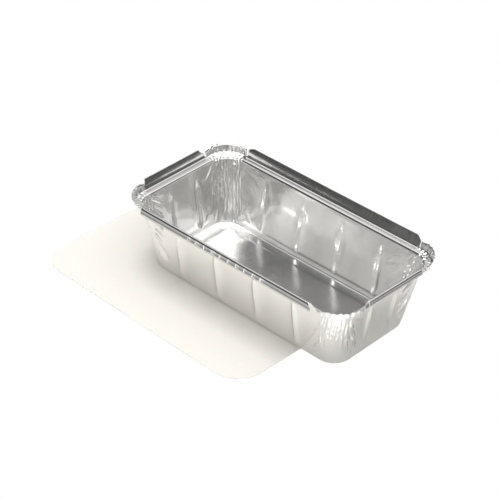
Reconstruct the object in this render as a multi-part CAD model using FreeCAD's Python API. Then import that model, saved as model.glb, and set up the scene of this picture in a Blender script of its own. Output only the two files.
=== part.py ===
import FreeCAD, Part
import math
import os

from FreeCAD import Vector

# Foil food container with a loose board lid.
# Two pieces: a rectangular tray pressed from one sheet of aluminium foil, and
# a flat board lid that lies under it, shifted out to one corner.
# Millimetres, +Z up. The origin is on the surface that the set stands on,
# straight below the middle of the tray. +X runs along the tray's long sides.

# ---------------------------------------------------------------- dimensions
FOIL = 0.10              # thickness of the foil sheet

# tray, measured on its outer faces at the base and its food side at the lip
BASE_L = 173.6           # length across the base
BASE_W = 76.9            # width across the base
BASE_R = 14.0            # plan radius of the base corners
LIP_L = 190.2            # length of the mouth at the lip
LIP_W = 93.7             # width of the mouth at the lip
LIP_R = 13.5             # plan radius of the mouth corners
LIP_Z = 50.1             # height of the ledge's top face above the tray's underside
BASE_EDGE_R = 2.5        # rounding between floor and walls, outside
LIP_EDGE_R = 1.5         # rounding between wall and ledge, food side
CREASE_R = 1.0           # rounding between ledge and upright flange, food side

# raised middle of the floor
PANEL_INSET = 7.4        # from the foot of the walls to the foot of the bevel
PANEL_BEVEL = 2.2        # width of the bevel in plan
PANEL_RISE = 0.5         # height of the bevel
PANEL_R = 8.0            # plan radius at the foot of the bevel

# ribs pressed outwards in the walls
RIB_R = 3.6              # radius of the rib's round section
RIB_DEPTH = 1.05         # how far a rib stands out of the wall
RIB_LOW = 5.0            # height of the centre of its lower round end
RIB_HIGH = 43.0          # height of the centre of its upper round end
RIBS_LONG = (-53.5, -18.0, 18.0, 53.5)   # positions along the long walls
RIBS_SHORT = (-13.0, 13.0)               # positions along the short walls

# ledge and upright flange, offsets measured outwards from the lip
LEDGE = 5.45             # width of the ledge at its own height
FLANGE_OUT = 7.1         # outward offset of the flange's food side at its top
FLANGE_H = 6.9           # height of the flat part of the flange above the ledge
HEM_R = 1.1              # outside radius of the roll along the flange's top
HEM_END_H = 2.85         # height above the ledge of the turned-down layer's cut edge
HEM_END_OUT = 9.7        # outward offset of that edge, which springs away from the flange

# lengths of the four straight flanges: half length at the ledge and at the top
LONG_FOOT, LONG_TOP = 80.0, 76.2
SHORT_FOOT, SHORT_TOP = 29.6, 26.2
CUT_H = 1.35             # flanges are separate from the corners above this height

# gathered corners of the flange
CORNER_H = 6.9           # height of the corner flange above the ledge
CORNER_X, CORNER_Y = 80.9, 30.8          # where a corner flange begins
PLEATS = 15              # pressed-flat folds in each corner
PLEAT_OUT = 0.55         # how far a fold stands out at the top
PLEAT_HALF = 0.55        # half its width at the top
PLEAT_FOOT_H = 1.5       # height where a fold begins

# board lid
LID_L = 199.0
LID_W = 103.5
LID_T = 0.40
LID_R = 21.7
LID_TURN = -1.53         # degrees about +Z
LID_LOW_X = -142.6       # low corner of the lid's rectangle before it is turned
LID_LOW_Y = -96.2


# ------------------------------------------------------------------- helpers
def outline(hx, hy, r, z):
    """A closed wire: rectangle of half sizes hx, hy with corner radius r."""
    edges = []
    arcs = []
    for sx, sy, a0 in ((1, 1, 0), (-1, 1, 90), (-1, -1, 180), (1, -1, 270)):
        cx, cy = sx * (hx - r), sy * (hy - r)
        pts = [Vector(cx + r * math.cos(math.radians(a0 + a)),
                      cy + r * math.sin(math.radians(a0 + a)), z) for a in (0, 45, 90)]
        arcs.append(pts)
    for i in range(4):
        edges.append(Part.Arc(*arcs[i]).toShape())
        edges.append(Part.makeLine(arcs[i][2], arcs[(i + 1) % 4][0]))
    return Part.Wire(edges)


def block(low, high):
    """A solid between two outlines, each (hx, hy, r, z)."""
    return Part.makeLoft([outline(*low), outline(*high)], True, True)


def on_line(a, b, z):
    """The outline at height z on the straight taper from outline a to b."""
    t = (z - a[3]) / (b[3] - a[3])
    return tuple(a[i] + t * (b[i] - a[i]) for i in range(3)) + (z,)


def grown(o, d):
    return (o[0] + d, o[1] + d, o[2] + d, o[3])


def edges_at(shape, z, limit=None, beyond=False, tol=1e-4):
    """Edges of shape that lie flat at height z, inside (or beyond) half sizes limit."""
    found = []
    for e in shape.Edges:
        b = e.BoundBox
        if abs(b.ZMin - z) < tol and abs(b.ZMax - z) < tol:
            if limit is None:
                found.append(e)
                continue
            inside = (max(abs(b.XMin), abs(b.XMax)) < limit[0] and
                      max(abs(b.YMin), abs(b.YMax)) < limit[1])
            if inside != beyond:
                found.append(e)
    return found


def polygon(points, direction):
    face = Part.Face(Part.makePolygon([Vector(*p) for p in points + points[:1]]))
    return face.extrude(Vector(*direction))


# -------------------------------------------------- the two sides of the foil
# Each side of the sheet bounds a volume: all that lies above and inside it.
# The sheet is the difference of the two volumes.
draft = math.atan2((LIP_W - BASE_W) / 2, LIP_Z)
side_t = FOIL / math.cos(draft)
lean = math.atan2(FLANGE_OUT - LEDGE, FLANGE_H)
lean_t = FOIL / math.cos(lean)

mouth_in = (LIP_L / 2, LIP_W / 2, LIP_R, LIP_Z)
mouth_out = grown(mouth_in, side_t)
foot_out = (BASE_L / 2, BASE_W / 2, BASE_R, 0.0)
ledge_in = (LIP_L / 2 + LEDGE, LIP_W / 2 + LEDGE, LIP_R + LEDGE, LIP_Z)
top_in = (LIP_L / 2 + FLANGE_OUT, LIP_W / 2 + FLANGE_OUT, LIP_R + FLANGE_OUT, LIP_Z + FLANGE_H)


def side_volume(outer):
    """The volume bounded by one side of the sheet, without floor panel and ribs."""
    if outer:
        lip_z, floor_z, d_wall, d_flange = LIP_Z - FOIL, 0.0, 0.0, lean_t
        r_base, r_lip, r_crease = BASE_EDGE_R, LIP_EDGE_R - FOIL, CREASE_R + FOIL
    else:
        lip_z, floor_z, d_wall, d_flange = LIP_Z, FOIL, -side_t, 0.0
        r_base, r_lip, r_crease = BASE_EDGE_R - FOIL, LIP_EDGE_R, CREASE_R
    low = grown(on_line(foot_out, mouth_out, floor_z), d_wall)
    high = grown(on_line(foot_out, mouth_out, lip_z), d_wall)
    lower = block(low, high)
    ledge = grown(on_line(ledge_in, top_in, lip_z), d_flange)
    upper = block(ledge, grown(top_in, d_flange))
    body = lower.fuse(upper).removeSplitter()
    body = body.makeFillet(r_base, edges_at(body, floor_z))
    body = body.makeFillet(r_lip, edges_at(body, lip_z, (high[0] + 0.1, high[1] + 0.1)))
    body = body.makeFillet(r_crease, edges_at(body, lip_z, (high[0] + 2.5, high[1] + 2.5), True))
    return body


def floor_panel(drop):
    foot = (BASE_L / 2 - PANEL_INSET, BASE_W / 2 - PANEL_INSET, PANEL_R, FOIL)
    crown = (foot[0] - PANEL_BEVEL, foot[1] - PANEL_BEVEL, PANEL_R - PANEL_BEVEL, FOIL + PANEL_RISE)
    under = on_line(foot, crown, -1.0)
    solid = block(under, crown)
    solid.translate(Vector(0, 0, -drop))
    return solid


def ribs(r):
    """Round ribs whose axes follow the slope of the walls."""
    solids = []
    slope_long = (LIP_W - BASE_W) / 2 / LIP_Z
    slope_short = (LIP_L - BASE_L) / 2 / LIP_Z

    def capsule(p, q):
        d = q - p
        return (Part.makeCylinder(r, d.Length, p, d)
                .fuse([Part.makeSphere(r, p), Part.makeSphere(r, q)]).removeSplitter())

    inset = (RIB_R - RIB_DEPTH + FOIL)
    for sign in (-1, 1):
        for x in RIBS_LONG:
            p, q = [Vector(x, sign * (BASE_W / 2 + slope_long * z - inset / math.cos(draft)), z)
                    for z in (RIB_LOW, RIB_HIGH)]
            solids.append(capsule(p, q))
        for y in RIBS_SHORT:
            p, q = [Vector(sign * (BASE_L / 2 + slope_short * z - inset / math.cos(draft)), y, z)
                    for z in (RIB_LOW, RIB_HIGH)]
            solids.append(capsule(p, q))
    return solids


volume_out = side_volume(True).cut(floor_panel(FOIL)).fuse(ribs(RIB_R + FOIL))
volume_in = side_volume(False).cut(floor_panel(0.0)).fuse(ribs(RIB_R))
foil = volume_out.cut(volume_in)

# --------------------------------------- the flange's four sides and corners
z_cut, z_top = LIP_Z + CUT_H, LIP_Z + FLANGE_H + 2
far_x, far_y = LIP_L / 2 + 30, LIP_W / 2 + 30


def end_at(foot, top, z):
    """Half length of a straight flange at height z above the ledge."""
    return foot + (top - foot) * (z - CUT_H) / (FLANGE_H - CUT_H)


a0, a1 = LONG_FOOT, end_at(LONG_FOOT, LONG_TOP, FLANGE_H + 2)
b0, b1 = SHORT_FOOT, end_at(SHORT_FOOT, SHORT_TOP, FLANGE_H + 2)
waste = Part.makeBox(2 * far_x, 2 * far_y, z_top - z_cut, Vector(-far_x, -far_y, z_cut))
keep = []
long_side = [(-a0, 0, z_cut), (a0, 0, z_cut), (a1, 0, z_top), (-a1, 0, z_top)]
short_side = [(0, -b0, z_cut), (0, b0, z_cut), (0, b1, z_top), (0, -b1, z_top)]
for sign in (-1, 1):
    keep.append(polygon([(x, sign * LIP_W / 2, z) for x, y, z in long_side], (0, sign * 40, 0)))
    keep.append(polygon([(sign * LIP_L / 2, y, z) for x, y, z in short_side], (sign * 40, 0, 0)))
for sx in (-1, 1):
    for sy in (-1, 1):
        x0, x1 = sorted((sx * CORNER_X, sx * (far_x + 5)))
        y0, y1 = sorted((sy * CORNER_Y, sy * (far_y + 5)))
        keep.append(Part.makeBox(x1 - x0, y1 - y0, CORNER_H - CUT_H + 1,
                                 Vector(x0, y0, z_cut - 1)))
foil = foil.cut(waste.cut(keep))


# ------------------------------------- the hem: the sheet rolled over and down
def hem_section():
    """Section (outward offset, height above the ledge) of the roll and its free layer."""
    cx = FLANGE_OUT + HEM_R
    r_in = HEM_R - FOIL * 1.02
    outer = Part.Arc(Vector(FLANGE_OUT, 0, FLANGE_H), Vector(cx, 0, FLANGE_H + HEM_R),
                     Vector(cx + HEM_R, 0, FLANGE_H)).toShape()
    inner = Part.Arc(Vector(cx + r_in, 0, FLANGE_H), Vector(cx, 0, FLANGE_H + r_in),
                     Vector(cx - r_in, 0, FLANGE_H)).toShape()
    p_out = Vector(HEM_END_OUT, 0, HEM_END_H)
    p_in = Vector(HEM_END_OUT - FOIL, 0, HEM_END_H)
    edges = [outer,
             Part.makeLine(Vector(cx + HEM_R, 0, FLANGE_H), p_out),
             Part.makeLine(p_out, p_in),
             Part.makeLine(p_in, Vector(cx + r_in, 0, FLANGE_H)),
             inner,
             Part.makeLine(Vector(cx - r_in, 0, FLANGE_H), Vector(FLANGE_OUT, 0, FLANGE_H))]
    return Part.Face(Part.Wire(edges))


hems = []
section = hem_section()
for half_side, half_len, turn in ((LIP_W / 2, 90, 90), (LIP_L / 2, 45, 0),
                                  (LIP_W / 2, 90, -90), (LIP_L / 2, 45, 180)):
    bar = section.extrude(Vector(0, 2 * half_len, 0))
    bar.translate(Vector(half_side, -half_len, LIP_Z))
    bar.rotate(Vector(0, 0, 0), Vector(0, 0, 1), turn)
    side = keep[{90: 2, 0: 3, -90: 0, 180: 1}[turn]]
    hems.append(bar.common(side))


# ------------------------------------------- the gathered corners' flat folds
def pleats():
    solids = []
    slope = (FLANGE_OUT - LEDGE) / FLANGE_H
    sink = 0.05
    for sx in (-1, 1):
        for sy in (-1, 1):
            cx, cy = LIP_L / 2 - LIP_R, LIP_W / 2 - LIP_R
            for i in range(PLEATS):
                a = math.radians(4.0 + 82.0 * i / (PLEATS - 1))
                inward = i % 2 == 1

                def point(off, da, h):
                    r = LIP_R + LEDGE + slope * h + off
                    return Vector(sx * (cx + r * math.cos(a + da)),
                                  sy * (cy + r * math.sin(a + da)), LIP_Z + h)

                r_top = LIP_R + LEDGE + slope * CORNER_H
                da = PLEAT_HALF / r_top
                if inward:
                    on, out = sink, -PLEAT_OUT
                else:
                    on, out = lean_t - sink, lean_t + PLEAT_OUT
                p = [point(on, 0, PLEAT_FOOT_H), point(on, -da, CORNER_H),
                     point(on, da, CORNER_H), point(out, 0, CORNER_H)]
                faces = [Part.Face(Part.makePolygon([p[i0], p[i1], p[i2], p[i0]]))
                         for i0, i1, i2 in ((0, 1, 2), (0, 2, 3), (0, 3, 1), (1, 3, 2))]
                s = Part.Solid(Part.Shell(faces))
                if s.Volume < 0:
                    s.reverse()
                solids.append(s)
    return solids


foil = foil.fuse(hems + pleats()).removeSplitter()
if foil.ShapeType != "Solid" and len(foil.Solids) == 1:
    foil = foil.Solids[0]
foil.translate(Vector(0, 0, LID_T))

# ------------------------------------------------------------------ board lid
lid = Part.Face(outline(LID_L / 2, LID_W / 2, LID_R, 0.0)).extrude(Vector(0, 0, LID_T))
lid.translate(Vector(LID_LOW_X + LID_L / 2, LID_LOW_Y + LID_W / 2, 0))
lid.rotate(Vector(0, 0, 0), Vector(0, 0, 1), LID_TURN)

# --------------------------------------------------------------------- export
os.makedirs("parts", exist_ok=True)
for name, shape in (("foil_tray", foil), ("card_lid", lid)):
    b = shape.BoundBox
    print(name, shape.ShapeType, "valid", shape.isValid(), "solids", len(shape.Solids),
          "faces", len(shape.Faces), "volume %.1f mm3" % shape.Volume,
          "box x %.2f..%.2f y %.2f..%.2f z %.2f..%.2f" % (b.XMin, b.XMax, b.YMin, b.YMax, b.ZMin, b.ZMax))
    shape.exportStep("parts/%s.step" % name)
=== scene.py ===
import math

import bpy
import numpy as np
from mathutils import Matrix


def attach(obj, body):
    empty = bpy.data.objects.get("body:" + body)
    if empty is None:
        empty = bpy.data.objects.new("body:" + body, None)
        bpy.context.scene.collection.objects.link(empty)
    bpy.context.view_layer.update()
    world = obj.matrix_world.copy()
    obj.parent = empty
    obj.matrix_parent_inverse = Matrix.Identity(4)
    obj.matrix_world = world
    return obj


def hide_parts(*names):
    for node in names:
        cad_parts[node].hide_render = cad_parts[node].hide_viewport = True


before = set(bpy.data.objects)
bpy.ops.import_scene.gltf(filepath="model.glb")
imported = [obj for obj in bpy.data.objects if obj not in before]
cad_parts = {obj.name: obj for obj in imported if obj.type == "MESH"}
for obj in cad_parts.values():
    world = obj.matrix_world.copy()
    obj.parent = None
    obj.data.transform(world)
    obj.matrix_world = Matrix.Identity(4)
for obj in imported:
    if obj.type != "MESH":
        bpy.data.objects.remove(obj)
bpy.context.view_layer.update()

MM = 0.001
LIFT = 0.40          # the tray stands on the board
FOIL = 0.10

# ============================================================ the tray's plan
# Half sizes and plan radius of the sheet's middle surface, in millimetres.
FOOT = np.array([86.75, 38.40, 14.0])      # where the walls would meet the floor
LIP = np.array([95.10, 46.85, 13.5])       # where the walls would meet the ledge
LIP_Z = 50.05
FLOOR_Z = 0.05
LIP_HALF = (81.6, 33.35)                   # half lengths of the lip's straight parts
KEEP = (60.0, 18.0)                        # columns inside these stay plumb
LONG_FOOT, LONG_TOP = 80.3, 76.2           # half lengths of the straight flanges
SHORT_FOOT, SHORT_TOP = 30.0, 26.2
LOBE_X, LOBE_Y = 80.8, 30.6                # where the corner flanges begin

RIBS_LONG = (-53.5, -18.0, 18.0, 53.5)
RIBS_SHORT = (-13.0, 13.0)
RIB_HALF, RIB_DEPTH, RIB_LOW, RIB_HIGH = 3.0, 1.15, 4.4, 43.0


def spaced(a, b, step):
    n = max(1, int(round(abs(b - a) / step)))
    return list(np.linspace(a, b, n + 1))[:-1]


NICKS = [-33.0 + 7.4 * k for k in range(10)]      # short crimps across the near hem


def straight_columns(half, foot, lobe, ribs, wrinkled, nicks=()):
    """Positions along a straight side, ascending, from -half up to but without +half."""
    fine = [(-foot, -foot + wrinkled, 0.68)]
    last = -foot + wrinkled
    for r in ribs:
        fine.append((last, r - 3.2, 4.2))
        fine.append((r - 3.2, r + 3.2, 0.64))
        last = r + 3.2
    fine.append((last, foot - wrinkled, 4.2))
    fine.append((foot - wrinkled, foot, 0.68))
    out = spaced(-half, -lobe, 0.5) + [-lobe]
    for a, b, step in fine:
        out += spaced(a, b, step)
    out += [foot] + spaced(lobe, half, 0.5)
    for c in nicks:
        out += [e for e in (c - 0.6, c - 0.2, c + 0.2, c + 0.6) if min(abs(e - v) for v in out) > 0.15]
    return sorted(out)


# columns run counter-clockwise: near side, near right corner, right side, ...
SEG_NEAR, SEG_NR, SEG_RIGHT, SEG_FR, SEG_FAR, SEG_FL, SEG_LEFT, SEG_NL = range(8)
CORNERS = (SEG_NR, SEG_FR, SEG_FL, SEG_NL)
cols = []
ARC_N = 42
for seg in range(8):
    if seg in (SEG_NEAR, SEG_FAR):
        c = straight_columns(LIP_HALF[0], LONG_FOOT, LOBE_X, RIBS_LONG, 19.0, NICKS if seg == SEG_NEAR else ())
        cols += [(seg, v) for v in c]
    elif seg in (SEG_RIGHT, SEG_LEFT):
        c = straight_columns(LIP_HALF[1], SHORT_FOOT, LOBE_Y, RIBS_SHORT, 11.5)
        cols += [(seg, v) for v in c]
    else:
        cols += [(seg, 90.0 * i / ARC_N) for i in range(ARC_N)]
C_SEG = np.array([c[0] for c in cols])
C_S = np.array([c[1] for c in cols], float)   # ascending in the direction of travel
N = len(cols)
LONG = (C_SEG == SEG_NEAR) | (C_SEG == SEG_FAR)
SHORT = (C_SEG == SEG_RIGHT) | (C_SEG == SEG_LEFT)


def stretch(s, lip_half, keep, half):
    a = np.abs(s)
    far = keep + (a - keep) * (half - keep) / (lip_half - keep)
    return np.sign(s) * np.where(a <= keep, a, far)


def ring(hx, hy, r, s=None):
    """Plan positions and outward directions of every column on an outline."""
    s = C_S if s is None else s
    x, y, nx, ny = np.zeros(N), np.zeros(N), np.zeros(N), np.zeros(N)
    hx, hy, r = [np.broadcast_to(np.asarray(v, float), (N,)) for v in (hx, hy, r)]
    lx, ly = hx - r, hy - r
    sx = stretch(s, LIP_HALF[0], KEEP[0], lx)
    sy = stretch(s, LIP_HALF[1], KEEP[1], ly)
    for seg, (dx, dy, ux, uy) in {SEG_NEAR: (1, 0, 0, -1), SEG_RIGHT: (0, 1, 1, 0),
                                  SEG_FAR: (-1, 0, 0, 1), SEG_LEFT: (0, -1, -1, 0)}.items():
        m = C_SEG == seg
        along = sx if seg in (SEG_NEAR, SEG_FAR) else sy
        x[m] = dx * along[m] + ux * hx[m]
        y[m] = dy * along[m] + uy * hy[m]
        nx[m], ny[m] = ux, uy
    for seg, (cx, cy, a0) in {SEG_NR: (1, -1, -90), SEG_FR: (1, 1, 0),
                              SEG_FL: (-1, 1, 90), SEG_NL: (-1, -1, 180)}.items():
        m = C_SEG == seg
        a = np.radians(a0 + s[m])
        x[m] = cx * lx[m] + r[m] * np.cos(a)
        y[m] = cy * ly[m] + r[m] * np.sin(a)
        nx[m], ny[m] = np.cos(a), np.sin(a)
    return x, y, nx, ny


# position of each column relative to the nearest corner, measured along the
# lip from the middle of the corner's arc: C_W < 0 before it, > 0 after it
ARC = LIP[2] * math.pi / 2
C_W = np.zeros(N)
C_CORNER = np.zeros(N, int)
for i, (seg, s) in enumerate(cols):
    if seg % 2 == 1:
        C_CORNER[i] = seg
        C_W[i] = (s / 90.0 - 0.5) * ARC
    else:
        half = LIP_HALF[0] if seg in (SEG_NEAR, SEG_FAR) else LIP_HALF[1]
        if s < 0:
            C_CORNER[i] = (seg - 1) % 8
            C_W[i] = ARC / 2 + (s + half)
        else:
            C_CORNER[i] = (seg + 1) % 8
            C_W[i] = -ARC / 2 - (half - s)
C_K = np.array([CORNERS.index(c) for c in C_CORNER])


# ============================================================== soft functions
def smooth(a, b, v):
    t = np.clip((np.asarray(v, float) - a) / (b - a), 0, 1)
    return t * t * (3 - 2 * t)


def table(seed):
    return np.random.default_rng(seed).uniform(-1, 1, (64, 64))


def noise(u, v, tab, sharp=False):
    """Seeded noise in -1..1 on a unit net; sharp keeps straight folds between its lines."""
    u, v = np.broadcast_arrays(np.asarray(u, float), np.asarray(v, float))
    iu, iv = np.floor(u).astype(int), np.floor(v).astype(int)
    fu, fv = u - iu, v - iv
    if not sharp:
        fu = fu * fu * (3 - 2 * fu)
    fv = fv * fv * (3 - 2 * fv)
    a, b = tab[iu % 64, iv % 64], tab[(iu + 1) % 64, iv % 64]
    c, d = tab[iu % 64, (iv + 1) % 64], tab[(iu + 1) % 64, (iv + 1) % 64]
    return (a * (1 - fu) + b * fu) * (1 - fv) + (c * (1 - fu) + d * fu) * fv


T1, T2, T3, T4, T5, T6, T7 = [table(s) for s in (11, 12, 13, 14, 15, 16, 17)]

# ================================================================ the profile
SLOPE = (LIP[0] - FOOT[0]) / LIP_Z
DRAFT = math.atan(SLOPE)
rows = []            # (hx, hy, r, z, kind)


def add(row, kind):
    rows.append(tuple(row) + (kind,))


# floor: crown of the raised middle, its bevel, margin, rounding to the walls
P_FOOT = np.array([79.40, 31.05, 8.0])
P_CROWN = np.array([72.40, 28.85, 5.8])
RISE = 0.50
z0 = FLOOR_Z
for t in (2.6, 1.6, 1.12):
    q = P_CROWN - 2.2 * (t - 1)
    add((q[0], q[1], q[2], z0 + RISE), "floor")
for t in (0.94, 0.72, 0.28, 0.06):
    p = P_FOOT + (P_CROWN - P_FOOT) * t
    add((p[0], p[1], p[2], z0 + RISE * float(smooth(-0.05, 1.05, t))), "floor")
p = P_FOOT
add((p[0] + 0.3, p[1] + 0.3, p[2] + 0.3, z0), "floor")
add((p[0] + 2.4, p[1] + 2.4, p[2] + 2.4, z0), "floor")
FLOOR_ROWS = len(rows)
RB = 1.75
zc = z0 + RB
xc = zc * SLOPE - RB / math.cos(DRAFT)
for k in range(7):
    a = math.radians(-90 + (90 - math.degrees(DRAFT)) * k / 6)
    xx, zz = xc + RB * math.cos(a), zc + RB * math.sin(a)
    add((FOOT[0] + xx, FOOT[1] + xx, FOOT[2] + xx, zz), "base")
# wall
RL = 1.90
zl = LIP_Z - RL
wall_top = zl + RL * math.sin(DRAFT)
wall_bot = rows[-1][3]
for z in list(np.linspace(wall_bot, 6.0, 4)[1:]) + list(np.linspace(6.0, 16.0, 8)[1:]) + \
        list(np.linspace(16.0, wall_top, 28)[1:-1]):
    t = z / LIP_Z
    p = FOOT + t * (LIP - FOOT)
    add((p[0], p[1], p[2], z), "wall")
# lip
xl = zl * SLOPE + RL / math.cos(DRAFT)
for k in range(6):
    a = math.radians(180 - math.degrees(DRAFT) - (90 - math.degrees(DRAFT)) * k / 5)
    xx, zz = xl + RL * math.cos(a), zl + RL * math.sin(a)
    p = FOOT + zz / LIP_Z * (LIP - FOOT)
    base = xx - zz * SLOPE
    add((p[0] + base, p[1] + base, p[2] + base, zz), "lip")
# ledge
o_lip = rows[-1][0] - LIP[0]
CREASE_R = 1.05
LEDGE_O = 5.35
LEAN = 9.0
cz = CREASE_R
cx = LEDGE_O - CREASE_R * math.tan(math.radians(45 - LEAN / 2)) + 0.05
for o in np.linspace(o_lip, cx, 5)[1:-1]:
    add((LIP[0] + o, LIP[1] + o, LIP[2] + o, LIP_Z), "ledge")
for k in range(5):
    a = math.radians(-90 + (90 - LEAN) * k / 4)
    o, z = cx + CREASE_R * math.cos(a), cz + CREASE_R * math.sin(a)
    add((LIP[0] + o, LIP[1] + o, LIP[2] + o, LIP_Z + z), "crease")
FOOT_O, FOOT_H = o, z
MAIN_END = len(rows)

# ---------------------------------------------------------------- flanges
# Each side's section above the crease, as runs of ("line", lean, length, parts)
# and ("arc", lean at its start, lean at its end, radius, parts). A lean of 0 is
# straight up, 90 outwards, 180 straight down.
SECTIONS = {
    SEG_NEAR: [("line", 9, 1.7, 2), ("line", 12, 1.8, 2), ("line", 15, 1.15, 1), ("line", 17, 0.95, 1),
               ("arc", 17, 145, 1.2, 8), ("line", 145, 0.2, 1), ("arc", 145, 186, 1.1, 3),
               ("arc", 186, 165, 2.0, 2), ("line", 163.5, 1.3, 1), ("line", 162.5, 1.3, 1)],
    SEG_RIGHT: [("line", 9, 1.7, 2), ("line", 12, 1.8, 2), ("line", 15, 1.15, 1), ("line", 17, 0.95, 1),
                ("arc", 17, 145, 1.1, 8), ("line", 145, 0.2, 1), ("arc", 145, 184, 1.0, 3),
                ("arc", 184, 166, 1.8, 2), ("line", 164, 0.9, 1), ("line", 163, 0.9, 1)],
    SEG_FAR: [("line", 30, 0.5, 1), ("line", 21.5, 2.5, 2), ("line", 23, 1.3, 1), ("line", 26, 1.2, 1),
              ("line", 29, 1.3, 1), ("arc", 29, 90, 0.3, 3), ("arc", 90, 178, 0.4, 4), ("line", 180, 2.6, 2)],
    SEG_LEFT: [("line", 68, 0.8, 1), ("line", 26, 0.6, 1), ("line", 21.5, 1.9, 2), ("line", 27, 1.0, 1),
               ("line", 22, 0.7, 1), ("line", 28, 1.6, 2), ("arc", 28, 90, 0.35, 3), ("arc", 90, 178, 0.5, 4),
               ("line", 180, 2.4, 2)],
}


def section_points(runs):
    """(offset from the lip, height above the ledge, length along the sheet)"""
    pts = []
    o, h, length = FOOT_O, FOOT_H, 0.0
    for run in runs:
        if run[0] == "line":
            _, lean, span, n = run
            leans = [lean] * n
        else:
            _, a, b, r, n = run
            span = r * math.radians(abs(b - a))
            leans = [a + (b - a) * (k + 0.5) / n for k in range(n)]
        for lean in leans:
            o += span / n * math.sin(math.radians(lean))
            h += span / n * math.cos(math.radians(lean))
            length += span / n
            pts.append((o, h, length))
    return pts


# outward shift of the flange's top along each side: (position, shift) pairs
SWAY = {
    SEG_NEAR: ([-80, -40, 0, 40, 80], [0.0, 0.05, 0.0, -0.05, 0.0]),
    SEG_RIGHT: ([-30, -10, 10, 30], [-2.4, -1.95, -1.45, -1.05]),
    SEG_FAR: ([-80, -60, 0, 80], [0.55, 0.3, 0.05, 0.0]),
    SEG_LEFT: ([-30, 0, 30], [0.0, 0.05, 0.15]),
}
# how the ends of each flange are cut: share of the set-back at a share of the height
ENDS = {
    (SEG_NEAR, -1): ((0, 0), (0.3, 0.2), (0.75, 0.4), (1, 0.4)),
    (SEG_NEAR, 1): ((0, 0), (0.3, 0.3), (0.75, 1.0), (1, 1.3)),
    (SEG_RIGHT, -1): ((0, 0), (0.3, 0.3), (0.75, 0.8), (1, 1)),
    (SEG_RIGHT, 1): ((0, 0), (0.3, 0.3), (0.75, 0.8), (1, 1)),
    (SEG_FAR, -1): ((0, -0.05), (0.55, 0.0), (0.75, 0.4), (1, 1)),
    (SEG_FAR, 1): ((0, 0), (0.55, 0.0), (0.8, 0.15), (0.92, 0.7), (1, 1)),
    (SEG_LEFT, -1): ((0, 0), (0.4, 0.1), (0.65, 0.75), (1, 1)),
    (SEG_LEFT, 1): ((0, -0.35), (0.3, -0.05), (0.55, 0.22), (1, 0.45)),
}
# height of the corner flanges: before the corner, at its middle, after it
LOBE = {SEG_NR: (3.4, 5.7, 4.2), SEG_FR: (3.2, 6.2, 5.2), SEG_FL: (5.8, 7.4, 4.8), SEG_NL: (5.4, 6.4, 3.8)}

# ================================================ ribs, creases and gathers
def rib_push(s, z, ribs, run_out=3.5):
    """How far round ribs stand out of a wall."""
    out = np.zeros_like(s)
    full = float(smooth(RIB_HIGH + 3.0, RIB_HIGH - 9.0, z) * smooth(RIB_LOW - 3.0, RIB_LOW + run_out, z))
    for c in ribs:
        rho = np.abs(s - c) / (RIB_HALF * (0.42 + 0.58 * full))
        out = np.maximum(out, RIB_DEPTH * full * np.maximum(0.0, 1 - rho ** 2) ** 1.6)
    return out


def stroke(u, z, u0, z0, u1, z1, amp, half):
    """A crease: a low ridge (or groove) along a line, fading at both ends."""
    dx, dz = u1 - u0, z1 - z0
    L = math.hypot(dx, dz)
    ex, ez = dx / L, dz / L
    along = (u - u0) * ex + (z - z0) * ez
    across = (u - u0) * ez - (z - z0) * ex
    across = across + 0.05 * L * np.sin(along / L * 3.0)
    fade = smooth(-0.06 * L, 0.22 * L, along) * (1 - smooth(0.72 * L, 1.06 * L, along))
    ridge = np.maximum(0.0, 1 - np.abs(across) / half)
    return 1.9 * amp * fade * ridge * (0.7 + 0.3 * ridge)


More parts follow.
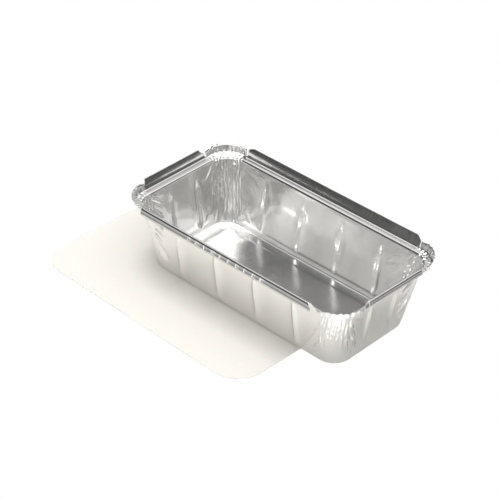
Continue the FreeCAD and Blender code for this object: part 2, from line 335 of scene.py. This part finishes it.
# (u0, z0, u1, z1, amplitude, half width); u is x on long walls, y on short ones
STROKES = {
    SEG_NEAR: [(-74, 43, -66, 37, 0.26, 1.4), (-79, 38, -69, 31, -0.26, 1.4), (-79, 33, -67, 22, 0.26, 1.5),
               (-78, 23, -66, 10, -0.24, 1.5), (-79, 28, -70, 17, -0.2, 1.3), (-77, 16, -70, 7, 0.2, 1.4),
               (-80, 44, -72, 40, -0.22, 1.2), (79, 41, 71, 27, 0.22, 1.5), (77, 25, 68, 8, 0.3, 1.5),
               (79, 30, 73, 17, -0.26, 1.3), (80, 21, 74, 10, 0.24, 1.2)],
    SEG_FAR: [(-78, 48, -68, 41, -0.26, 1.3), (-77, 45, -62, 35, 0.28, 1.4), (-72, 49, -57, 41, -0.22, 1.4),
              (-76, 40, -68, 35, 0.24, 1.3), (-79, 38, -66, 29, -0.26, 1.4), (-77, 31, -67, 23, 0.26, 1.5),
              (-79, 25, -66, 13, -0.3, 1.8), (-76, 17, -63, 6, 0.3, 2.0),
              (79, 47, 60, 37, -0.28, 1.5), (77, 42, 60, 33, 0.22, 1.6), (78, 40, 69, 29, -0.3, 1.4),
              (79, 37, 70, 26, 0.28, 1.3), (76, 33, 66, 21, -0.24, 1.5), (79, 29, 64, 17, 0.24, 1.6),
              (70, 30, 61, 20, -0.16, 1.5), (77, 20, 68, 9, -0.2, 1.6)],
    SEG_LEFT: [(-32, 47, -20, 38, 0.28, 1.3), (-31, 43, -19, 33, -0.28, 1.3), (-32, 38, -21, 27, 0.26, 1.3),
               (-31, 30, -22, 19, -0.28, 1.4), (-30, 22, -22, 10, 0.3, 1.5), (-29, 47, -16, 43, -0.2, 1.3),
               (-8, 36, 13, 17, -0.07, 3.4), (-13, 24, 11, 14, 0.07, 4.5),
               (31, 48, 20, 37, 0.3, 1.4), (30, 38, 22, 27, -0.26, 1.4), (29, 28, 20, 18, 0.26, 1.4),
               (29, 17, 23, 7, -0.26, 1.4), (23, 16, 17, 6, 0.28, 1.6)],
    SEG_RIGHT: [(-30, 44, -21, 33, 0.26, 1.4), (-30, 33, -22, 19, -0.3, 1.3), (-29, 24, -21, 11, 0.34, 1.3),
                (-27, 20, -20, 9, -0.26, 1.2), (-31, 15, -25, 7, 0.26, 1.2), (30, 45, 17, 35, 0.28, 1.5),
                (31, 36, 18, 24, -0.28, 1.5), (30, 28, 19, 15, 0.28, 1.5), (29, 18, 22, 8, -0.26, 1.4),
                (31, 42, 24, 37, -0.26, 1.2)],
}


# creases of the near right corner: (w0, z0, w1, z1, amplitude, half width)
CORNER_STROKES = [(-12.6, 23, -10.8, 12, 0.22, 0.9), (-10.4, 27, -8.9, 13, -0.22, 0.9), (7.8, 39, 11.6, 30, 0.26, 1.0),
                  (7.2, 33, 10.6, 20, -0.28, 1.0), (9.6, 28, 11.8, 13, 0.30, 1.0), (7.0, 23, 9.2, 11, -0.24, 0.9),
                  (11.8, 25, 12.8, 14, -0.24, 0.9), (12.6, 36, 14.4, 27, -0.2, 1.0)]

# shallow dents: (u, z, half width, half height, depth outwards)
DENTS = {
    SEG_NEAR: [],
    SEG_FAR: [(-44, 36, 12, 13, -0.8), (-28, 18, 9, 10, 0.3)],
    SEG_LEFT: [(0, 28, 9, 10, 0.30)],
    SEG_RIGHT: [],
}


def wall_shape(seg, u, z):
    """Outward displacement of a straight wall."""
    long = seg in (SEG_NEAR, SEG_FAR)
    d = {SEG_NEAR: 1.5, SEG_RIGHT: 1.1, SEG_FAR: 0.72, SEG_LEFT: 1.3}[seg] * rib_push(
        u, z, RIBS_LONG if long else RIBS_SHORT, 7.0 if seg == SEG_FAR else 3.0)
    if z > 2.0:
        for s in STROKES[seg]:
            gain, slim = {SEG_NEAR: (2.5, 1.0), SEG_RIGHT: (2.3, 1.0), SEG_FAR: (0.8, 0.75), SEG_LEFT: (1.2, 0.9)}[seg]
            d = d + gain * stroke(u, z, *s[:5], slim * s[5])
    soft = {SEG_NEAR: 0.05, SEG_FAR: 0.04, SEG_LEFT: 0.08, SEG_RIGHT: 0.07}[seg]
    lift = float(smooth(1.0, 14.0, z)) * float(1 - smooth(44.0, 49.0, z))
    d = d + soft * lift * noise(u / 15.0 + 9 * seg, z / 17.0 + 3.3, T6)
    for u0, z0, ru, rz, amp in DENTS[seg]:
        d = d + amp * np.exp(-((u - u0) / ru) ** 2 - ((z - z0) / rz) ** 2)
    if seg == SEG_FAR:
        d = d + 0.55 * float(smooth(22.0, 50.0, z)) * (1 - smooth(62.0, 78.0, np.abs(u)))
    return d


def pleat(w, z):
    """Pleats standing side by side round a corner, each coming and going with height."""
    phase = (w + 0.9 * noise(w / 4.3 + 11 * C_K, 0.4, T7)) / 2.7
    tri = 2 * np.abs(2 * (phase - np.floor(phase + 0.5))) - 1
    size = 0.62 + 0.55 * noise(np.floor(phase) * 1.37 + 9 * C_K, z / 7.0 + 4 * C_K, T2)
    return np.clip(size, 0.0, 1.0) * tri


def gathers(z, up):
    """Outward displacement of the gathered corners at height z, with strength up."""
    wander = 0.9 * noise(z / 11.0 + 7 * C_K, C_W / 9.0, T5) + 0.35 * noise(z / 4.0 + 5 * C_K, C_W / 4.0, T4)
    w = C_W + wander
    fine = noise(w / 1.15 + 23 * C_K, z / 8.0 + 3 * C_K, T1, True)
    tiny = noise(w / 1.3 + 3 * C_K, z / 2.7, T3)
    a = np.abs(C_W)
    env = 1 - smooth(9.5, 14.0, a)
    env_fine = 1 - smooth(10.5, 17.0, a)
    crumple = noise(w / 1.25 + 13 * C_K, z / 1.9 + 5 * C_K, T4)
    bold = np.where(C_CORNER == SEG_FL, 0.5 + 0.95 * smooth(1.0, 12.0, z), 1.0)
    out = bold * (0.12 + 0.33 * up) * env * pleat(w, z) + bold * (0.05 + 0.10 * up) * env * fine + \
        (0.13 * up * tiny + 0.22 * up ** 2 * crumple) * env_fine
    if z > 2.0:
        for s in CORNER_STROKES:
            out = out + 1.8 * (C_CORNER == SEG_NR) * stroke(C_W, z, *s)
    return out


def floor_swell(x, y):
    """The raised middle of the floor bellies up towards its left end."""
    inside = smooth(0.0, 3.0, P_FOOT[0] - np.abs(x)) * smooth(0.0, 3.0, P_FOOT[1] - np.abs(y))
    return 1.6 * np.clip((-38.0 - x) / 38.0, 0.0, 1.05) ** 1.35 * inside


def displaced(row):
    hx, hy, r, z, kind = row
    x, y, nx, ny = ring(hx, hy, r)
    if kind == "floor":
        return np.stack([x, y, z + floor_swell(x, y)], 1)
    ox, oy, oz = nx * math.cos(DRAFT), ny * math.cos(DRAFT), -math.sin(DRAFT)
    up = np.where(C_CORNER == SEG_NR, float(smooth(-26.0, 36.0, z)), float(smooth(-6.0, 44.0, z)))
    if kind in ("base", "wall"):
        d = np.zeros(N)
        for seg in (SEG_NEAR, SEG_RIGHT, SEG_FAR, SEG_LEFT):
            m = C_SEG == seg
            d[m] = wall_shape(seg, (x if seg in (SEG_NEAR, SEG_FAR) else y)[m], z)
        if kind == "base":
            up = up * float(smooth(-0.2, 2.2, z))
        d = d + (1.0 if kind == "wall" else float(smooth(-0.2, 2.0, z))) * gathers(z, up)
        return np.stack([x + ox * d, y + oy * d, z + oz * d], 1)
    if kind == "lip":
        d = 1.15 * gathers(z, 1.0)
        return np.stack([x + ox * d, y + oy * d, z + oz * d], 1)
    env = 1 - smooth(10.0, 13.4, np.abs(C_W))
    out = 1.1 * gathers(50.0, 1.0)
    rise = 0.26 * env * pleat(C_W, 50.0 + 2.0 * (hx - LIP[0])) + \
        0.22 * env * noise(C_W / 1.0 + 3 * C_K, (hx - LIP[0]) / 1.3, T3)
    fade = float(smooth(0.0, 1.4, hx - LIP[0] - o_lip))
    return np.stack([x + nx * out, y + ny * out, z + rise * fade], 1)


# ============================================================= build the sheet
V, F, MI = [], [], []
PLAIN, KNURLED, UNDER, BRUSHED = range(4)


def push(points):
    start = sum(len(p) for p in V)
    V.append(np.asarray(points, float))
    return np.arange(start, start + len(points))


def face(verts, material=PLAIN):
    F.append(tuple(int(v) for v in verts))
    MI.append(material)


HALF = np.arange(0, N, 2)
floor_ids = [push(displaced(r)[HALF]) for r in rows[:FLOOR_ROWS]]
K = len(HALF)
for a, b in zip(floor_ids[:-1], floor_ids[1:]):
    for i in range(K):
        j = (i + 1) % K
        face((a[i], a[j], b[j], b[i]), BRUSHED)
ids = [push(displaced(r)) for r in rows[FLOOR_ROWS:]]
a, b = floor_ids[-1], ids[0]
for i in range(K):
    i0 = HALF[i]
    i1 = HALF[i + 1] if i + 1 < K else N
    chain = [b[q % N] for q in range(i0, i1 + 1)]
    face([a[i], a[(i + 1) % K]] + chain[::-1], BRUSHED)
kinds = [r[4] for r in rows[FLOOR_ROWS:]]
for q, (a, b) in enumerate(zip(ids[:-1], ids[1:])):
    on_ledge = kinds[q] == "ledge"
    for i in range(N):
        j = (i + 1) % N
        knurl = on_ledge and C_SEG[i] % 2 == 0 and C_SEG[j] % 2 == 0 and abs(C_W[i]) > 13.0
        face((a[i], a[j], b[j], b[i]), KNURLED if knurl else PLAIN)

# middle of the floor: a coarser net inside the first row
first = V[0]
pick = list(range(0, K, 3))
prev = floor_ids[0]
M = len(pick)
zc0 = rows[0][3]


def floor_net(t):
    px, py = first[pick, 0], first[pick, 1]
    sx = np.clip(px, -47.0, 47.0)
    if t == 1.0:
        sx = np.round((sx + 47.0) / 94.0 * 3) / 3 * 94.0 - 47.0      # both sides meet in four points
    x, y = px + (sx - px) * t, py * (1 - t)
    z = zc0 + 0.05 * t * noise(x / 30.0, y / 26.0 + 2.5, T6) + floor_swell(x, y)
    return np.stack([x, y, z], 1)


q0 = push(floor_net(0.10))
for k in range(M):
    a, b = pick[k], pick[(k + 1) % M] if k + 1 < M else K
    chain = [prev[i % K] for i in range(a, b + 1)]
    face([q0[k], q0[(k + 1) % M]] + chain[::-1], BRUSHED)
for t in (0.25, 0.42, 0.60, 0.80, 1.0):
    q1 = push(floor_net(t))
    for k in range(M):
        k2 = (k + 1) % M
        face((q1[k], q1[k2], q0[k2], q0[k]), BRUSHED)
    q0 = q1

# straight flanges with their hems
TOP_LAND = 0
for seg in (SEG_NEAR, SEG_RIGHT, SEG_FAR, SEG_LEFT):
    is_long = seg in (SEG_NEAR, SEG_FAR)
    foot, top = (LONG_FOOT, LONG_TOP) if is_long else (SHORT_FOOT, SHORT_TOP)
    keep = KEEP[0] if is_long else KEEP[1]
    use = np.where((C_SEG == seg) & (np.abs(C_S) <= foot + 1e-6))[0]
    prev = ids[-1][use]
    pts = section_points(SECTIONS[seg])
    peak = max(p[1] for p in pts)
    sway = np.interp(C_S, *SWAY[seg])
    ripple = noise(C_S / 9.0 + 4 * seg, 0.5, T6)
    over = next(p[2] for p in pts if p[1] >= peak)
    for o, h, length in pts:
        t = min(1.0, max(0.0, (h - FOOT_H - 0.3) / (peak - FOOT_H - 0.3))) if length < over else 1.0
        a = np.abs(C_S)
        cut = np.where(C_S < 0, np.interp(t, *zip(*ENDS[(seg, -1)])), np.interp(t, *zip(*ENDS[(seg, 1)])))
        cut = cut + 0.16 * max(0.0, length - over) * (seg in (SEG_FAR, SEG_LEFT))
        if seg == SEG_NEAR:
            cut = cut - 0.17 * max(0.0, length - over) * (C_S > 0)
        k = (a - keep) / (foot - keep)
        s = np.where(a > keep, np.sign(C_S) * (keep + (foot - keep - (foot - top) * cut) * k), C_S)
        grow = float(smooth(0.0, 6.5, length))
        oo = o + sway * grow + 0.12 * ripple * grow * (1 - 0.5 * t)
        if seg == SEG_NEAR and length > over + 1.6:
            near_nick = np.min(np.abs(C_S[:, None] - np.array(NICKS)[None, :]), axis=1)
            oo = oo - 0.34 * (1 - smooth(0.15, 0.6, near_nick))
        x, y, nx, ny = ring(LIP[0] + oo, LIP[1] + oo, LIP[2] + oo, s)
        z = np.full(N, LIP_Z + h) - 0.10 * np.abs(sway) * grow * (1 if seg == SEG_RIGHT else 0)
        cur = push(np.stack([x, y, z], 1)[use])
        for i in range(len(use) - 1):
            face((prev[i], prev[i + 1], cur[i + 1], cur[i]))
        prev = cur

# gathered corner flanges
for corner in CORNERS:
    use = [i for i in range(N) if C_SEG[i] == corner or
           (C_CORNER[i] == corner and abs(C_W[i]) <= ARC / 2 +
            ((LIP_HALF[0] - LOBE_X) if C_SEG[i] in (SEG_NEAR, SEG_FAR) else (LIP_HALF[1] - LOBE_Y)) + 1e-6)]
    use = np.array(sorted(use, key=lambda i: C_W[i]))
    prev = ids[-1][use]
    hb, hm, ha = LOBE[corner]
    end = np.where(C_W < 0, hb, ha)
    height = hm + (end - hm) * smooth(5.0, 12.4, np.abs(C_W))
    rough = 0.4 if corner == SEG_FL else 1.0
    height = height + rough * (0.22 * noise(C_W / 1.3 + 7 * corner, 0.2, T1) + 0.20 * noise(C_W / 3.1 + corner, 1.7, T2))
    env = 1 - 0.6 * smooth(10.4, 12.4, np.abs(C_W))
    for k in range(1, 9):
        t = k / 8
        h = (height - FOOT_H) * t
        o = FOOT_O + h * math.tan(math.radians(12.0)) + 0.5 * smooth(0.75, 1.0, t)
        x, y, nx, ny = ring(LIP[0] + o, LIP[1] + o, LIP[2] + o)
        fold = noise(C_W / 1.25 + 23 * C_K, h / 5.0 + 1.3, T1, True)
        wide = pleat(C_W, 50.0 + 0.8 * h)
        crush = noise(C_W / 0.9 + 5 * C_K, h / 1.3, T3)
        base = 1.1 * gathers(50.0, 1.0) * (1 - t) ** (3 if corner == SEG_FL else 1)
        d = base + {SEG_NR: 1.8, SEG_FR: 1.35, SEG_FL: 0.5}.get(corner, 1.0) * env * ((0.06 + 0.20 * t) * fold + (0.10 + 0.36 * t) * wide + (0.06 + 0.14 * t) * crush)
        cur = push(np.stack([x + nx * d, y + ny * d, LIP_Z + FOOT_H + h + 0 * d], 1)[use])
        for i in range(len(use) - 1):
            face((prev[i], prev[i + 1], cur[i + 1], cur[i]))
        prev = cur

V = np.concatenate(V)
V[:, 2] += LIFT

# merge corners that fall together and drop what collapses
key, remap = {}, np.arange(len(V))
for i, v in enumerate(np.round(V, 4)):
    remap[i] = key.setdefault(tuple(v), i)
clean, clean_mi = [], []
for f, mi in zip(F, MI):
    g = []
    for v in f:
        v = int(remap[v])
        if not g or g[-1] != v:
            g.append(v)
    if len(g) > 1 and g[0] == g[-1]:
        g.pop()
    if len(g) >= 3 and len(set(g)) == len(g):
        clean.append(tuple(g))
        clean_mi.append(mi)
F, MI = clean, clean_mi
used = sorted({v for f in F for v in f})
lookup = {v: i for i, v in enumerate(used)}
V = V[used]
F = [tuple(lookup[v] for v in f) for f in F]


def both_sides(V, F, MI, t):
    """The sheet with thickness t: both faces and every cut edge, closed."""
    tris = np.array([(f[0], f[k], f[k + 1]) for f in F for k in range(1, len(f) - 1)])
    n = np.cross(V[tris[:, 1]] - V[tris[:, 0]], V[tris[:, 2]] - V[tris[:, 0]])
    vn = np.zeros_like(V)
    for k in range(3):
        np.add.at(vn, tris[:, k], n)
    vn /= np.maximum(np.linalg.norm(vn, axis=1, keepdims=True), 1e-12)
    count = len(V)
    out = np.concatenate([V + vn * t / 2, V - vn * t / 2])
    faces = [tuple(f) for f in F] + [tuple(int(v) + count for v in reversed(f)) for f in F]
    mats = [UNDER] * len(F) + list(MI)
    seen = {}
    for f in F:
        for a, b in zip(f, f[1:] + f[:1]):
            seen.setdefault((a, b) if a < b else (b, a), []).append((a, b))
    for uses in seen.values():
        if len(uses) == 1:
            a, b = uses[0]
            faces.append((int(b), int(a), int(a) + count, int(b) + count))
            mats.append(PLAIN)
    return out, faces, mats


V2, F2, M2 = both_sides(V, F, MI, FOIL)


def make_mesh(name, verts, faces):
    me = bpy.data.meshes.new(name)
    me.from_pydata([tuple(v) for v in verts], [], faces)
    me.update()
    ob = bpy.data.objects.new(name, me)
    bpy.context.scene.collection.objects.link(ob)
    me.polygons.foreach_set("use_smooth", [True] * len(me.polygons))
    return ob


foil = make_mesh("foil_sheet", V2 * MM, F2)
foil.data.polygons.foreach_set("material_index", M2)
print("foil triangles", sum(len(f) - 2 for f in F2), "columns", N, "rows", len(rows))


# ================================================================== materials
def new_material(name):
    m = bpy.data.materials.new(name)
    m.use_nodes = True
    return m, m.node_tree.nodes, m.node_tree.links


def foil_material(name, roughness, knurled_shaded):
    m, nodes, links = new_material(name)
    b = nodes["Principled BSDF"]
    # the knurled ledge gets a darker base colour: painted shade for the shadowing inside its fine embossed ridges
    b.inputs["Base Color"].default_value = (0.70, 0.698, 0.69, 1) if knurled_shaded else (0.88, 0.877, 0.868, 1)
    b.inputs["Metallic"].default_value = 1.0
    b.inputs["Roughness"].default_value = roughness
    geo = nodes.new("ShaderNodeTexCoord")
    n1 = nodes.new("ShaderNodeTexNoise")
    n1.inputs["Scale"].default_value = 300.0
    n1.inputs["Detail"].default_value = 3.0
    links.new(geo.outputs["Object"], n1.inputs["Vector"])
    bump = nodes.new("ShaderNodeBump")
    bump.inputs["Strength"].default_value = 0.10
    bump.inputs["Distance"].default_value = 0.0005
    links.new(n1.outputs["Fac"], bump.inputs["Height"])
    last = bump
    if knurled_shaded:
        wave = nodes.new("ShaderNodeTexWave")
        wave.wave_type = "BANDS"
        wave.bands_direction = "DIAGONAL"
        wave.inputs["Scale"].default_value = 260.0
        wave.inputs["Distortion"].default_value = 0.6
        links.new(geo.outputs["Object"], wave.inputs["Vector"])
        grip = nodes.new("ShaderNodeBump")
        grip.inputs["Strength"].default_value = 0.09
        grip.inputs["Distance"].default_value = 0.0003
        links.new(wave.outputs["Fac"], grip.inputs["Height"])
        links.new(bump.outputs["Normal"], grip.inputs["Normal"])
        last = grip
    links.new(last.outputs["Normal"], b.inputs["Normal"])
    return m


def board_material():
    m, nodes, links = new_material("white_board")
    b = nodes["Principled BSDF"]
    b.inputs["Roughness"].default_value = 0.6
    b.inputs["Specular IOR Level"].default_value = 0.25
    tc = nodes.new("ShaderNodeTexCoord")
    n1 = nodes.new("ShaderNodeTexNoise")
    n1.inputs["Scale"].default_value = 900.0
    n1.inputs["Detail"].default_value = 4.0
    links.new(tc.outputs["Object"], n1.inputs["Vector"])
    ramp = nodes.new("ShaderNodeValToRGB")
    ramp.color_ramp.elements[0].color = (0.725, 0.704, 0.663, 1)
    ramp.color_ramp.elements[1].color = (0.765, 0.743, 0.701, 1)
    links.new(n1.outputs["Fac"], ramp.inputs["Fac"])
    links.new(ramp.outputs["Color"], b.inputs["Base Color"])
    bump = nodes.new("ShaderNodeBump")
    bump.inputs["Strength"].default_value = 0.05
    bump.inputs["Distance"].default_value = 0.0002
    links.new(n1.outputs["Fac"], bump.inputs["Height"])
    links.new(bump.outputs["Normal"], b.inputs["Normal"])
    return m


foil.data.materials.append(foil_material("pressed_foil", 0.15, False))
# ledge foil: knurled bump, with painted shade in its darker base colour
foil.data.materials.append(foil_material("pressed_foil_ledge", 0.16, True))
foil.data.materials.append(foil_material("pressed_foil_under", 0.16, False))
foil.data.materials.append(foil_material("pressed_foil_floor", 0.22, False))
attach(foil, "root")
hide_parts("foil_tray")

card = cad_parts["card_lid"]
card.data.materials.clear()
card.data.materials.append(board_material())

# ============================================================ floor and light
floor_mesh = bpy.data.meshes.new("floor")
FX0, FX1, FY0, FY1, FZ = -0.155, 0.150, -0.107, 0.160, -0.0002
floor_mesh.from_pydata([(FX0, FY0, FZ), (FX1, FY0, FZ), (FX1, FY1, FZ), (FX0, FY1, FZ)], [], [(0, 1, 2, 3)])
floor = bpy.data.objects.new("floor", floor_mesh)
bpy.context.scene.collection.objects.link(floor)
m, nodes, links = new_material("pale_floor")
b = nodes["Principled BSDF"]
b.inputs["Roughness"].default_value = 0.8


def floor_math(op, *values):
    n = nodes.new("ShaderNodeMath")
    n.operation = op
    for i, v in enumerate(values):
        if isinstance(v, (int, float)):
            n.inputs[i].default_value = v
        else:
            links.new(v, n.inputs[i])
    return n.outputs[0]


def floor_step(v, a, b, c, d):
    n = nodes.new("ShaderNodeMapRange")
    n.interpolation_type = "SMOOTHSTEP"
    for name, value in (("From Min", a), ("From Max", b), ("To Min", c), ("To Max", d)):
        n.inputs[name].default_value = value
    links.new(v, n.inputs["Value"])
    return n.outputs[0]


place = nodes.new("ShaderNodeTexCoord")
axes = nodes.new("ShaderNodeSeparateXYZ")
links.new(place.outputs["Object"], axes.inputs[0])
fx, fy = axes.outputs[0], axes.outputs[1]
# the paper is in shade past the right end, and a pool of light lies before the near right corner
shade = floor_math("MULTIPLY", floor_step(fx, 0.085, 0.105, 0.0, 1.0), floor_step(fy, -0.045, -0.005, 0.0, 1.0))
paper = nodes.new("ShaderNodeMix")
paper.data_type = "RGBA"
links.new(shade, paper.inputs[0])
paper.inputs[6].default_value = (0.79, 0.775, 0.745, 1)
paper.inputs[7].default_value = (0.60, 0.588, 0.56, 1)
links.new(paper.outputs[2], b.inputs["Base Color"])
dx, dy = floor_math("SUBTRACT", fx, 0.0816), floor_math("SUBTRACT", fy, -0.0334)
reach = floor_math("SQRT", floor_math("ADD", floor_math("MULTIPLY", dx, dx), floor_math("MULTIPLY", dy, dy)))
facing = floor_math("DIVIDE", floor_math("SUBTRACT", floor_math("MULTIPLY", dx, 0.669), floor_math("MULTIPLY", dy, 0.743)),
                    floor_math("MAXIMUM", reach, 0.001))
pool = floor_math("MULTIPLY", floor_step(facing, 0.60, 0.88, 0.0, 0.30),
                  floor_math("MULTIPLY", floor_step(reach, 0.018, 0.032, 0.0, 1.0), floor_step(reach, 0.075, 0.11, 1.0, 0.0)))
b.inputs["Emission Color"].default_value = (1, 1, 1, 1)
links.new(pool, b.inputs["Emission Strength"])
out = nodes["Material Output"]
em = nodes.new("ShaderNodeEmission")
em.inputs["Color"].default_value = (1, 1, 1, 1)
em.inputs["Strength"].default_value = 1.0
lp = nodes.new("ShaderNodeLightPath")
mix = nodes.new("ShaderNodeMixShader")
links.new(lp.outputs["Is Camera Ray"], mix.inputs[0])
links.new(b.outputs[0], mix.inputs[1])
links.new(em.outputs[0], mix.inputs[2])
links.new(mix.outputs[0], out.inputs["Surface"])
floor_mesh.materials.append(m)

# studio: a soft box overhead, dim to the near left and to the far right
world = bpy.data.worlds.new("studio")
bpy.context.scene.world = world
world.use_nodes = True
wn, wl = world.node_tree.nodes, world.node_tree.links
bg = wn["Background"]
wout = wn["World Output"]
tc = wn.new("ShaderNodeTexCoord")
sep = wn.new("ShaderNodeSeparateXYZ")
wl.new(tc.outputs["Generated"], sep.inputs[0])


def math_node(op, a, b=None):
    n = wn.new("ShaderNodeMath")
    n.operation = op
    for i, v in enumerate((a, b)):
        if v is None:
            continue
        if isinstance(v, (int, float)):
            n.inputs[i].default_value = v
        else:
            wl.new(v, n.inputs[i])
    return n.outputs[0]


def map_range(v, a, b, c, d):
    n = wn.new("ShaderNodeMapRange")
    n.interpolation_type = "SMOOTHSTEP"
    n.inputs["From Min"].default_value = a
    n.inputs["From Max"].default_value = b
    n.inputs["To Min"].default_value = c
    n.inputs["To Max"].default_value = d
    wl.new(v, n.inputs["Value"])
    return n.outputs[0]


X, Y, Z = sep.outputs


def product(*values):
    out = values[0]
    for v in values[1:]:
        out = math_node("MULTIPLY", out, v)
    return out


plan = math_node("MAXIMUM", math_node("SQRT", math_node("ADD", product(X, X), product(Y, Y))), 0.001)


def sector(angle, full, none):
    """1 within full degrees of a compass angle (from +X towards +Y), 0 beyond none."""
    a = math.radians(angle)
    d = math_node("ADD", math_node("MULTIPLY", X, math.cos(a)), math_node("MULTIPLY", Y, math.sin(a)))
    return map_range(math_node("DIVIDE", d, plan), math.cos(math.radians(none)), math.cos(math.radians(full)), 0.0, 1.0)


def below(full, none):
    """1 under an elevation of full degrees, 0 above none."""
    return map_range(Z, math.sin(math.radians(full)), math.sin(math.radians(none)), 1.0, 0.0)


def toned(level, mask, to):
    """level where mask is 0, level times to where it is 1."""
    return product(level, math_node("SUBTRACT", 1.0, math_node("MULTIPLY", mask, 1.0 - to)))


def lit(level, mask, to):
    return math_node("ADD", math_node("MULTIPLY", level, math_node("SUBTRACT", 1.0, mask)),
                     math_node("MULTIPLY", mask, to))


def above(none, full):
    """0 under an elevation of none degrees, 1 above full."""
    return map_range(Z, math.sin(math.radians(none)), math.sin(math.radians(full)), 0.0, 1.0)


SKY, BOX, SIDE, SWEEP = 0.58, 9.7, 1.6, 1.36
level = lit(math_node("MULTIPLY", below(88, 90), SKY), map_range(Z, -0.03, 0.0, 1.0, 0.0), SWEEP)
level = lit(level, product(sector(-145, 42, 62), below(-10, -4)), 0.50)
level = lit(level, product(sector(50, 40, 60), below(-10, -4)), 0.45)
level = lit(level, product(sector(-42, 34, 56), below(22, 40)), 1.3)
level = lit(level, product(sector(132, 26, 50), below(42, 60), above(20, 28)), 0.64)
level = toned(level, product(sector(132, 26, 50), below(16, 22), above(-12, -6)), 0.35)
level = lit(level, product(sector(-150, 34, 58), below(52, 60), above(-14, -9)), 0.07)
level = lit(level, product(sector(38, 18, 30), below(40, 50), above(-18, -13)), 0.09)
level = lit(level, product(sector(-130, 25, 45), below(-2, 0), above(-14, -10)), 0.22)
level = lit(level, product(sector(38, 18, 30), below(-2, 0), above(-18, -13)), 0.14)
zz = math_node("MAXIMUM", Z, 0.02)
U, W = math_node("DIVIDE", X, zz), math_node("DIVIDE", Y, zz)


def box(u0, u1, v0, v1, edge):
    """1 inside a rectangle of the ceiling, given by its slopes along X and Y."""
    return product(map_range(U, u0 - edge, u0, 0.0, 1.0), map_range(U, u1, u1 + edge, 1.0, 0.0),
                   map_range(W, v0 - edge, v0, 0.0, 1.0), map_range(W, v1, v1 + edge, 1.0, 0.0),
                   map_range(Z, 0.1, 0.2, 0.0, 1.0))


level = lit(level, product(product(sector(-75, 25, 45), below(36, 48)), above(3, 10)), 1.25)
level = lit(level, box(-0.30, 0.70, -0.62, 0.55, 0.18), SIDE)
level = lit(level, box(-0.35, 0.00, -0.31, 0.12, 0.07), BOX)
level = lit(level, box(-0.86, -0.60, 0.04, 0.40, 0.06), 1.1)
level = lit(level, box(0.22, 0.62, 0.74, 0.96, 0.07), 1.5)
wl.new(level, bg.inputs["Strength"])
bg.inputs["Color"].default_value = (1.0, 0.995, 0.985, 1)
plain = wn.new("ShaderNodeBackground")
plain.inputs["Color"].default_value = (1, 1, 1, 1)
wlp = wn.new("ShaderNodeLightPath")
wmix = wn.new("ShaderNodeMixShader")
wl.new(wlp.outputs["Is Camera Ray"], wmix.inputs[0])
wl.new(bg.outputs[0], wmix.inputs[1])
wl.new(plain.outputs[0], wmix.inputs[2])
wl.new(wmix.outputs[0], wout.inputs["Surface"])

# ===================================================================== camera
az, el, roll = math.radians(41.916), math.radians(35.209), math.radians(-2.019)
dist, tx, ty, f = 1390.22, 27.54, 40.01, 1990.3
fwd = np.array([-math.sin(az) * math.cos(el), math.cos(az) * math.cos(el), -math.sin(el)])
right = np.cross(fwd, [0, 0, 1.0])
right /= np.linalg.norm(right)
down = np.cross(fwd, right)
c, s = math.cos(roll), math.sin(roll)
R = np.array([c * right + s * down, -s * right + c * down, fwd])
C = -R[2] * dist - (R[0] * tx + R[1] * ty) * dist / f + np.array([0, 0, LIFT])
cam_data = bpy.data.cameras.new("camera")
cam = bpy.data.objects.new("camera", cam_data)
bpy.context.scene.collection.objects.link(cam)
mat = Matrix.Identity(4)
for i in range(3):
    mat[i][0] = R[0][i]
    mat[i][1] = -R[1][i]
    mat[i][2] = -R[2][i]
    mat[i][3] = C[i] * MM
cam.matrix_world = mat
cam_data.sensor_width = 36.0
cam_data.lens = f * 36.0 / 500.0
cam_data.clip_end = 20.0
bpy.context.scene.camera = cam

bpy.context.scene.view_settings.view_transform = "Standard"
